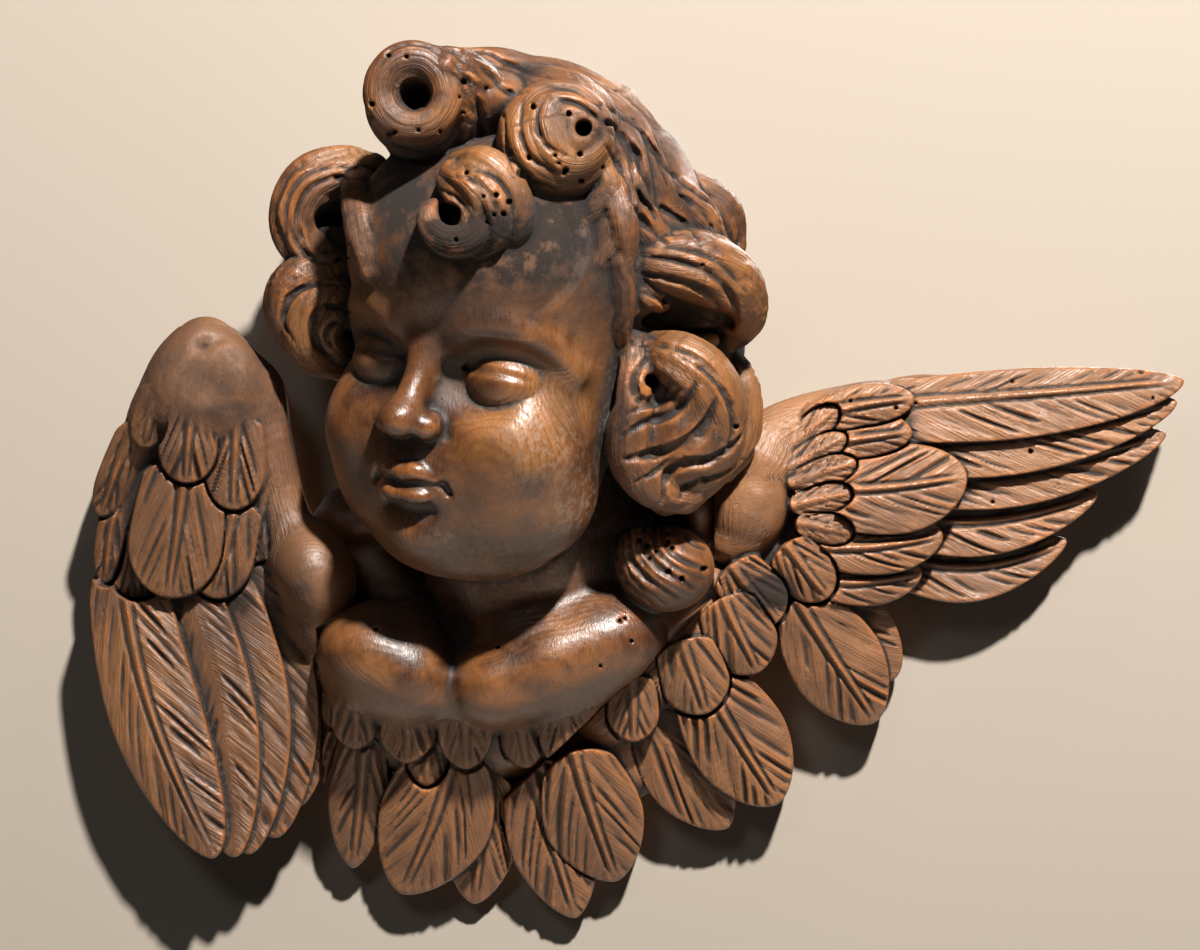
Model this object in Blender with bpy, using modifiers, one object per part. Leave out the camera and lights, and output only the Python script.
"""Carved wooden cherub head with two wings, made to hang flat on a wall.

Three glued wooden blocks: the head with its hair, neck, breast and the middle
of the feather fan; the spread wing with the rest of the fan; the folded wing.
Metres, +Z up.  The wall is the plane Y = 0 and the carving stands out towards
-Y.  The origin is the middle of the flat sawn back of the head block.

Sizes are drawn on an elevation sheet: u to the right and v down in sheet
units, h in millimetres out from the wall.  The sheet is drawn in perspective
from EYE mm in front of the wall, so a unit is smaller the nearer it is.
"""
import math
import bpy
import bmesh
from mathutils import Vector, Matrix

# ---------------------------------------------------------------- sizes
UNIT = 0.36            # mm of wall per sheet unit
EYE = 950.0            # mm from the wall to the eye the sheet is drawn from
SHEET = (600.0, 475.0) # sheet point straight in front of the eye
BACK = (510.0, 480.0)  # sheet point of the origin, on the flat back
GAP = 0.30             # mm between glued blocks
VOXEL = {"head_and_breast": 1.3, "spread_wing": 0.9, "folded_wing": 0.9}
TRIS = {"head_and_breast": 4900, "spread_wing": 2500, "folded_wing": 1700}

# head: turn to its right, nod, lean, and centre between the temples (mm)
TURN, NOD, LEAN = 26.0, 8.0, 6.5
HEAD = (-2.3, -65.0, 46.4)

for ob in list(bpy.data.objects):
    bpy.data.objects.remove(ob, do_unlink=True)


def P(u, v, h):
    """Sheet point and height to model millimetres."""
    k = UNIT * (1 - h / EYE)
    return Vector(((u - SHEET[0]) * k + (SHEET[0] - BACK[0]) * UNIT, -h,
                   (SHEET[1] - v) * k - (SHEET[1] - BACK[1]) * UNIT))


def head_axes():
    """Left, forward and up of the head as model directions."""
    t, n, r = (math.radians(a) for a in (TURN, NOD, LEAN))
    fwd = Vector((-math.sin(t) * math.cos(n), -math.cos(t) * math.cos(n), -math.sin(n)))
    left = Vector((math.cos(t), -math.sin(t), 0))
    up = -left.cross(fwd)
    return (math.cos(r) * left - math.sin(r) * up, fwd,
            math.cos(r) * up + math.sin(r) * left)


LEFT, FWD, UP = head_axes()


def H(a, b, c):
    """Head point (left, forward, up) to model millimetres."""
    return Vector(HEAD) + a * LEFT + b * FWD + c * UP


def lerp(a, b, t):
    return a + (b - a) * t


def leaf(t, widest, root):
    """Half width of a feather along its length, as a part of the widest."""
    if t < widest:
        return root + (1 - root) * math.sin(math.pi / 2 * t / widest)
    return math.sqrt(max(0.0, 1 - ((t - widest) / (1 - widest)) ** 2.3))


class Block:
    """One wooden block: closed shapes that are fused into a single solid."""

    def __init__(self, name):
        self.name = name
        self.bm = bmesh.new()

    def ball(self, centre, radii, turn=0.0, axes=None, fine=3):
        """Ellipsoid; radii across, out and up, turned clockwise on the sheet."""
        ret = bmesh.ops.create_icosphere(self.bm, subdivisions=fine, radius=1.0)
        a = math.radians(turn)
        ex, ey, ez = axes or (Vector((math.cos(a), 0, -math.sin(a))), Vector((0, -1, 0)),
                              Vector((math.sin(a), 0, math.cos(a))))
        for v in ret["verts"]:
            x, y, z = v.co
            v.co = centre + ex * (x * radii[0]) + ey * (y * radii[1]) + ez * (z * radii[2])

    def skull(self, a, b, c, radii):
        self.ball(H(a, b, c), radii, axes=(LEFT, FWD, UP))

    def feather(self, root, tip, wide, top, under, bend=0.0, widest=0.55, rootw=0.6, crown=1.6, tilt=0.0):
        """Leaf-shaped blade from a cube cut into strips.  top and under are the
        heights (root, tip) of its face and of its back; tilt lifts the edge on
        the left of someone who looks from the root to the tip."""
        blade = bmesh.new()
        bmesh.ops.create_cube(blade, size=2.0)
        bmesh.ops.subdivide_edges(blade, edges=blade.edges[:], cuts=7, use_grid_fill=True)
        r, p = Vector(root), Vector(tip)
        d = p - r
        n = Vector((-d.y, d.x)) / d.length
        for v in blade.verts:
            x, y, z = v.co
            t = 0.004 + 0.495 * (x + 1)
            s = y * wide * leaf(t, widest, rootw)
            q = r + d * t + n * (s + bend * math.sin(math.pi * t))
            hi = lerp(top[0], top[1], t) - crown * y * y - tilt * y
            lo = lerp(under[0], under[1], t)
            v.co = P(q.x, q.y, lerp(lo, hi, 0.5 * (z + 1)))
        mesh = bpy.data.meshes.new("blade")
        blade.to_mesh(mesh)
        blade.free()
        self.bm.from_mesh(mesh)
        bpy.data.meshes.remove(mesh)

    def lock(self, points, radii, sides=8, steps=5):
        """Round lock of hair: bevelled curve through sheet points."""
        pts = [P(*q) for q in points]
        rad = list(radii) if hasattr(radii, "__len__") else [radii] * len(pts)
        path, size = [], []
        for i in range(len(pts) - 1):
            p0, p1, p2, p3 = (pts[max(i - 1, 0)], pts[i], pts[i + 1], pts[min(i + 2, len(pts) - 1)])
            for j in range(steps):
                t = j / steps
                path.append(0.5 * ((2 * p1) + (p2 - p0) * t + (2 * p0 - 5 * p1 + 4 * p2 - p3) * t * t
                                   + (3 * p1 - p0 - 3 * p2 + p3) * t ** 3))
                size.append(lerp(rad[i], rad[i + 1], t))
        path.append(pts[-1])
        size.append(rad[-1])
        curve = bpy.data.curves.new("lock", "CURVE")
        curve.dimensions = "3D"
        curve.bevel_depth = 1.0
        curve.bevel_resolution = 2
        curve.use_fill_caps = True
        spline = curve.splines.new("POLY")
        spline.points.add(len(path) - 1)
        for k, (q, s) in enumerate(zip(path, size)):
            spline.points[k].co = (q.x, q.y, q.z, 1)
            spline.points[k].radius = s
        ob = bpy.data.objects.new("lock", curve)
        bpy.context.scene.collection.objects.link(ob)
        bpy.context.view_layer.update()
        mesh = bpy.data.meshes.new_from_object(ob.evaluated_get(bpy.context.evaluated_depsgraph_get()))
        bpy.data.objects.remove(ob, do_unlink=True)
        self.bm.from_mesh(mesh)
        bpy.data.meshes.remove(mesh)
        bmesh.ops.remove_doubles(self.bm, verts=self.bm.verts, dist=1e-4)
        for q, s in ((path[0], size[0]), (path[-1], size[-1])):
            self.ball(q, (s, s, s), fine=2)

    def fuse(self, collection, material):
        """Fuse the shapes, soften the joins and thin the faces out."""
        bmesh.ops.recalc_face_normals(self.bm, faces=self.bm.faces)
        bmesh.ops.scale(self.bm, vec=(0.001,) * 3, verts=self.bm.verts)
        mesh = bpy.data.meshes.new(self.name)
        self.bm.to_mesh(mesh)
        self.bm.free()
        ob = bpy.data.objects.new(self.name, mesh)
        collection.objects.link(ob)
        rm = ob.modifiers.new("fuse", "REMESH")
        rm.mode = "VOXEL"
        rm.voxel_size = VOXEL[self.name] / 1000
        sm = ob.modifiers.new("soften", "SMOOTH")
        sm.factor, sm.iterations = 0.5, 2
        apply(ob)
        count = sum(len(p.vertices) - 2 for p in ob.data.polygons)
        tri = ob.modifiers.new("triangles", "TRIANGULATE")
        de = ob.modifiers.new("thin", "DECIMATE")
        de.ratio = min(1.0, TRIS[self.name] / count)
        apply(ob)
        ob.data.materials.append(material)
        return ob


def apply(ob):
    """Replace an object's mesh with its evaluated mesh."""
    bpy.context.view_layer.update()
    mesh = bpy.data.meshes.new_from_object(ob.evaluated_get(bpy.context.evaluated_depsgraph_get()))
    old = ob.data
    ob.modifiers.clear()
    ob.data = mesh
    bpy.data.meshes.remove(old)


def keep_largest(ob):
    """Drop crumbs that a cut leaves beside the block."""
    bm = bmesh.new()
    bm.from_mesh(ob.data)
    bmesh.ops.remove_doubles(bm, verts=bm.verts, dist=2e-6)
    groups, seen = [], set()
    for f in bm.faces:
        if f in seen:
            continue
        group, todo = set(), [f]
        while todo:
            g = todo.pop()
            if g in group:
                continue
            group.add(g)
            todo += [o for e in g.edges for o in e.link_faces if o not in group]
        seen |= group
        groups.append(group)
    big = max(groups, key=lambda g: sum(f.calc_area() for f in g))
    bmesh.ops.delete(bm, geom=[f for g in groups if g is not big for f in g], context="FACES")
    bmesh.ops.recalc_face_normals(bm, faces=bm.faces)
    bmesh.ops.triangulate(bm, faces=bm.faces)
    bmesh.ops.dissolve_degenerate(bm, edges=bm.edges, dist=2e-5)
    bmesh.ops.triangulate(bm, faces=bm.faces)
    bm.to_mesh(ob.data)
    bm.free()


def prism(name, outline, near, far, collection):
    """Cutter: a flat outline in model X and Z (mm), between two Y planes."""
    bm = bmesh.new()
    face = bm.faces.new([bm.verts.new((x / 1000, near / 1000, z / 1000)) for x, z in outline])
    ext = bmesh.ops.extrude_face_region(bm, geom=[face])
    for v in [g for g in ext["geom"] if isinstance(g, bmesh.types.BMVert)]:
        v.co.y = far / 1000
    bmesh.ops.recalc_face_normals(bm, faces=bm.faces)
    mesh = bpy.data.meshes.new(name)
    bm.to_mesh(mesh)
    bm.free()
    ob = bpy.data.objects.new(name, mesh)
    ob.hide_render = True
    ob.display_type = "WIRE"
    collection.objects.link(ob)
    return ob


def cut(ob, cutter):
    m = ob.modifiers.new("cut_" + cutter.name, "BOOLEAN")
    m.operation = "DIFFERENCE"
    m.object = cutter
    apply(ob)


def wood(name, colour, rough):
    m = bpy.data.materials.new(name)
    m.use_nodes = True
    s = m.node_tree.nodes["Principled BSDF"]
    s.inputs["Base Color"].default_value = (*colour, 1)
    s.inputs["Roughness"].default_value = rough
    s.inputs["Metallic"].default_value = 0.0
    return m


# ---------------------------------------------------------------- head block
head = Block("head_and_breast")
# skull and face, on infant proportions
head.skull(0, -12, 28, (56, 60, 52))
head.skull(0, 14, 32, (45, 36, 36))
head.skull(0, 2, -18, (48, 43, 50))
for side in (-1, 1):
    head.skull(side * 25, 25, -28, (22, 22, 24))
    head.skull(side * 22, 33, -4, (12, 12, 10))
    head.skull(side * 7, 51, -21, (5.5, 6, 5))
head.skull(0, 47, -6, (6, 7, 17))
head.skull(0, 58, -18, (7, 7, 6.5))
head.skull(0, 38, -33, (17, 14, 13))
head.skull(0, 51, -37, (9, 4, 3.2))
head.skull(0, 49, -45, (8, 5, 3.4))
head.skull(0, 38, -56, (13, 11, 11))
head.skull(0, 14, -64, (34, 30, 15))
# jaw, neck and breast
head.skull(0, 14, -52, (40, 33, 24))
head.lock([(520, 450, 40), (528, 560, 34), (530, 630, 28)], (34, 30, 34))
head.ball(P(386, 658, 44), (22, 22, 15), turn=8)
head.ball(P(412, 668, 46), (17, 20, 14), turn=20)
head.ball(P(500, 676, 46), (18, 22, 13), turn=-15)
head.ball(P(560, 654, 45), (25, 24, 15), turn=-20)
head.ball(P(610, 634, 40), (22, 24, 14), turn=-28)
head.ball(P(500, 690, 14), (54, 30, 26))
head.ball(P(470, 720, 14), (50, 24, 20))
head.ball(P(485, 785, 4), (24, 15, 20))
# short feathers under the breast
for root, tip, wide, top in [((331, 690), (331, 727), 10, (34, 32)), ((356, 685), (355, 748), 23, (44, 38)),
                             ((408, 690), (407, 762), 28, (47, 40)), ((430, 720), (426, 786), 21, (38, 31)),
                             ((463, 695), (467, 768), 27, (49, 41)), ((518, 700), (527, 767), 21, (46, 38)),
                             ((563, 690), (570, 770), 27, (48, 40))]:
    head.feather(root, tip, wide, top, (10, 20), widest=0.6, rootw=0.8)
# long feathers of the fan
for root, tip, wide, top, bend in [((334, 715), (307, 808), 13, (30, 16), 0), ((366, 735), (352, 868), 28, (34, 13), 0),
                                   ((487, 770), (473, 903), 37, (26, 8), 0), ((455, 745), (402, 893), 58, (38, 15), -6)]:
    head.feather(root, tip, wide, top, (0, 3), bend=bend, widest=0.5)
# hair: filling masses, cut flat at the wall
head.skull(3, -24, 36, (62, 50, 56))
head.ball(P(505, 235, 0), (43, 40, 44))
head.ball(P(595, 400, 0), (44, 34, 64))
head.ball(P(470, 95, 92), (26, 26, 16))
head.ball(P(640, 165, 66), (25, 34, 24))
head.ball(P(694, 235, 56), (15, 30, 22))
head.ball(P(680, 330, 38), (25, 40, 56))
head.ball(P(345, 270, 26), (18, 28, 42))
head.ball(P(585, 540, 24), (30, 30, 30))
head.ball(P(365, 522, 20), (20, 16, 11))
# hair: the two front scrolls and the small curl between them
head.lock([(413, 92, 114), (420, 100, 98), (430, 112, 80)], (14, 15, 14))
ring = [(413 + 33 * math.cos(a), 92 + 33 * math.sin(a), 117) for a in [k * math.pi / 6 for k in range(13)]]
head.lock(ring, 5.6, steps=2)
head.ball(P(557, 140, 112), (19, 18, 19))
head.lock([(585, 150, 108), (575, 110, 100), (545, 90, 92), (500, 75, 88)], (12, 12, 12, 11))
head.ball(P(487, 203, 119), (13, 14, 14))
head.lock([(436, 199, 124), (427, 212, 126), (429, 229, 128), (442, 240, 129), (460, 243, 129), (474, 236, 129),
           (478, 221, 128), (468, 208, 127)], (2.5, 4.5, 5, 5, 5, 5, 5, 4))
head.lock([(590, 210, 108), (612, 195, 104), (622, 160, 98)], (8, 10, 9))
# hair: locks on the left
head.lock([(362, 172, 52), (330, 172, 54), (300, 190, 55), (288, 218, 56), (292, 246, 56), (315, 262, 55),
           (346, 266, 50)], (7, 7, 6.5, 6, 6, 6, 6))
head.lock([(350, 243, 50), (322, 240, 52)], (5, 4))
head.lock([(350, 285, 52), (310, 285, 54), (288, 300, 55), (293, 335, 54), (312, 356, 52), (345, 362, 48)],
          (8, 8, 7, 7, 7, 7))
head.lock([(340, 310, 54), (318, 330, 54), (330, 350, 52)], (7, 6, 6))
# hair: locks on the right
head.lock([(612, 130, 96), (632, 180, 98), (640, 230, 97), (632, 262, 95)], (10, 10, 9, 6))
head.lock([(650, 120, 76), (668, 170, 80), (700, 205, 74), (722, 236, 66)], (11, 12, 12, 9))
head.lock([(642, 282, 92), (690, 276, 90), (730, 288, 78), (742, 318, 66), (724, 340, 66), (702, 338, 70)],
          (8, 10, 11, 9, 6, 4))
head.lock([(628, 335, 98), (655, 355, 96), (703, 372, 90), (725, 405, 80), (718, 452, 76), (695, 480, 80),
           (676, 470, 84)], (5, 7, 10, 11, 11, 8, 6))
head.lock([(695, 400, 88), (655, 432, 92), (640, 462, 90), (660, 490, 84), (698, 492, 76)], (9, 9, 8, 7, 6))
head.ball(P(680, 425, 66), (19, 22, 25))
head.ball(P(737, 405, 58), (9, 12, 17))
head.ball(P(664, 568, 58), (17, 18, 15.5))

# ---------------------------------------------------------------- spread wing
wing = Block("spread_wing")
# arm: rounded stub and the bar that carries the long feathers
wing.lock([(745, 512, 34), (757, 468, 33), (800, 428, 30), (860, 408, 26), (905, 402, 24)], (13.5, 13, 10, 7, 5))
wing.ball(P(742, 515, 34), (11, 14, 14))
wing.ball(P(770, 540, 14), (26, 18, 26))
wing.ball(P(640, 725, 8), (52, 20, 20), turn=-44)
wing.ball(P(548, 795, 5), (22, 15, 16), turn=-44)
# feathers of the fan on this block
for root, tip, wide, top, under, bend in [((530, 760), (576, 918), 44, (30, 11), (0, 3), 2),
                                          ((574, 752), (617, 881), 51, (37, 15), (0, 3), 4),
                                          ((648, 715), (728, 828), 40, (28, 15), (2, 7), 2),
                                          ((845, 590), (893, 680), 28, (24, 14), (6, 8), 0),
                                          ((697, 672), (778, 804), 50, (38, 22), (3, 9), 0),
                                          ((796, 600), (876, 722), 47, (36, 20), (3, 9), 0),
                                          ((635, 675), (637, 742), 25, (44, 38), (8, 20), 0),
                                          ((682, 640), (706, 714), 33, (46, 36), (8, 20), 0),
                                          ((722, 598), (758, 673), 35, (46, 36), (8, 20), 0),
                                          ((740, 570), (778, 622), 31, (47, 39), (8, 20), 0),
                                          ((785, 545), (826, 598), 27, (45, 37), (8, 18), 0),
                                          ((800, 521), (852, 534), 13, (46, 42), (8, 18), 0)]:
    wing.feather(root, tip, wide, top, under, bend=bend, widest=0.55)
# long feathers: each tucked under the one above it
for root, tip, wide, top, under, bend in [((880, 412), (1183, 382), 34, (36, 38), (10, 26), -8),
                                          ((880, 430), (1176, 402), 34, (33, 36), (9, 25), 14),
                                          ((880, 466), (1150, 446), 34, (30, 33), (9, 20), 18),
                                          ((880, 505), (1098, 494), 34, (27, 29), (8, 16), 20),
                                          ((880, 540), (1066, 540), 34, (24, 24), (8, 13), 24)]:
    wing.feather(root, tip, wide, top, under, bend=bend, widest=0.45, rootw=0.8, tilt=-2.5)
wing.ball(P(930, 470, 15), (44, 8, 34))
# coverts
for root, tip, wide, top, bend in [((815, 430), (940, 405), 21, (44, 42), -6), ((800, 470), (905, 437), 25, (45, 42), -4),
                                   ((805, 490), (967, 478), 44, (47, 42), 4), ((800, 545), (943, 538), 29, (44, 36), 8),
                                   ((800, 572), (927, 573), 25, (40, 30), 8)]:
    wing.feather(root, tip, wide, top, (8, 16), bend=bend, widest=0.6)

# ---------------------------------------------------------------- folded wing
fold = Block("folded_wing")
# wrist, arm and the stub that meets the breast
fold.ball(P(207, 374, 42), (21, 20, 19))
fold.lock([(208, 376, 44), (178, 420, 38), (143, 500, 28), (120, 570, 20)], (18, 16, 12, 8))
fold.lock([(225, 376, 44), (250, 440, 46), (272, 520, 44), (304, 570, 44)], (17, 13, 12, 12))
fold.ball(P(317, 578, 42), (12.6, 18, 14.5))
fold.ball(P(222, 520, 32), (25, 18, 34))
fold.ball(P(298, 605, 18), (11, 18, 20))
# coverts
for root, tip, wide, top, bend in [((150, 400), (143, 446), 17, (52, 46), 0), ((190, 410), (190, 482), 28, (60, 56), 0),
                                   ((230, 425), (233, 508), 28, (61, 57), 0), ((135, 430), (101, 520), 18, (44, 30), 0),
                                   ((125, 480), (104, 582), 17, (38, 24), 0), ((130, 540), (140, 598), 26, (42, 36), 0),
                                   ((188, 475), (170, 597), 46, (58, 52), 0), ((236, 500), (210, 598), 29, (57, 49), 0),
                                   ((262, 480), (243, 572), 25, (56, 49), 0)]:
    fold.feather(root, tip, wide, top, (14, 18), bend=bend, widest=0.6, rootw=0.8)
# long feathers: the outer one lies on top, each next one shows its inner edge
for root, tip, wide, top, under, bend in [((122, 560), (212, 857), 47, (36, 36), (10, 22), 16),
                                          ((175, 560), (228, 857), 42, (38, 34), (12, 22), -10),
                                          ((215, 560), (246, 856), 42, (39, 32), (12, 22), -16),
                                          ((245, 560), (270, 842), 44, (40, 28), (12, 18), -14),
                                          ((270, 575), (292, 815), 34, (42, 26), (10, 14), -14)]:
    fold.feather(root, tip, wide, top, under, bend=bend, widest=0.5, rootw=0.7, tilt=3)

# ---------------------------------------------------------------- build
parts = bpy.data.collections.new("angel_head_sculpture")
cutters = bpy.data.collections.new("cutters")
for c in (parts, cutters):
    bpy.context.scene.collection.children.link(c)

browns = {"head_and_breast": ((0.165, 0.082, 0.038), 0.42), "spread_wing": ((0.175, 0.095, 0.052), 0.42),
          "folded_wing": ((0.150, 0.072, 0.034), 0.38)}
obs = {b.name: b.fuse(parts, wood("wood_" + b.name, *browns[b.name])) for b in (head, wing, fold)}


def flat(u, v, h=30):
    q = P(u, v, h)
    return (q.x, q.z)


def shifted(points, dx, dz):
    return [(x + dx, z + dz) for x, z in points]


# glue lines, seen from the front, each from its lower end to its upper end
right = [flat(u, v) for u, v in [(552, 945), (534, 907), (517, 878), (506, 852), (499, 826), (499, 806), (548, 757),
                                 (712, 596), (713, 470), (717, 330)]]
left = [flat(u, v) for u, v in [(316, 880), (319, 760), (322, 626), (352, 606), (400, 576)]]
far = 300.0
g = GAP / 2
outer_r = right + [(far, right[-1][1]), (far, -far), (right[0][0], -far)]
inner_r = right + [(right[-1][0], far), (-far, far), (-far, -far), (right[0][0], -far)]
outer_l = left + [(left[-1][0], far), (-far, far), (-far, -far), (left[0][0], -far)]
inner_l = left + [(far, left[-1][1]), (far, -far), (left[0][0], -far)]

wall = prism("wall", [(-far, -far), (far, -far), (far, far), (-far, far)], 0.0, 60.0, cutters)
# the hair hangs in front of the arm of the spread wing
HANG = 50.0
for name in obs:
    cut(obs[name], wall)
cut(obs["head_and_breast"], prism("wing_bed_right", shifted(outer_r, -g, g), 60.0, -HANG - g, cutters))
bed_l = left[:4] + [(-far, left[3][1]), (-far, -far), (left[0][0], -far)]
cut(obs["head_and_breast"], prism("wing_bed_left", shifted(bed_l, g, -g), 60.0, -200.0, cutters))
cut(obs["spread_wing"], prism("block_side_right", shifted(inner_r, g, -g), 60.0, -200.0, cutters))
cut(obs["spread_wing"], prism("under_hair", [flat(600, 640), flat(775, 600), flat(775, 330), flat(600, 330)],
                              -HANG + g, -200.0, cutters))
cut(obs["folded_wing"], prism("block_side_left", shifted(inner_l, -g, g), 60.0, -200.0, cutters))
for ob in obs.values():
    keep_largest(ob)
    ob.data.shade_smooth()
    ob.data.set_sharp_from_angle(angle=math.radians(50))
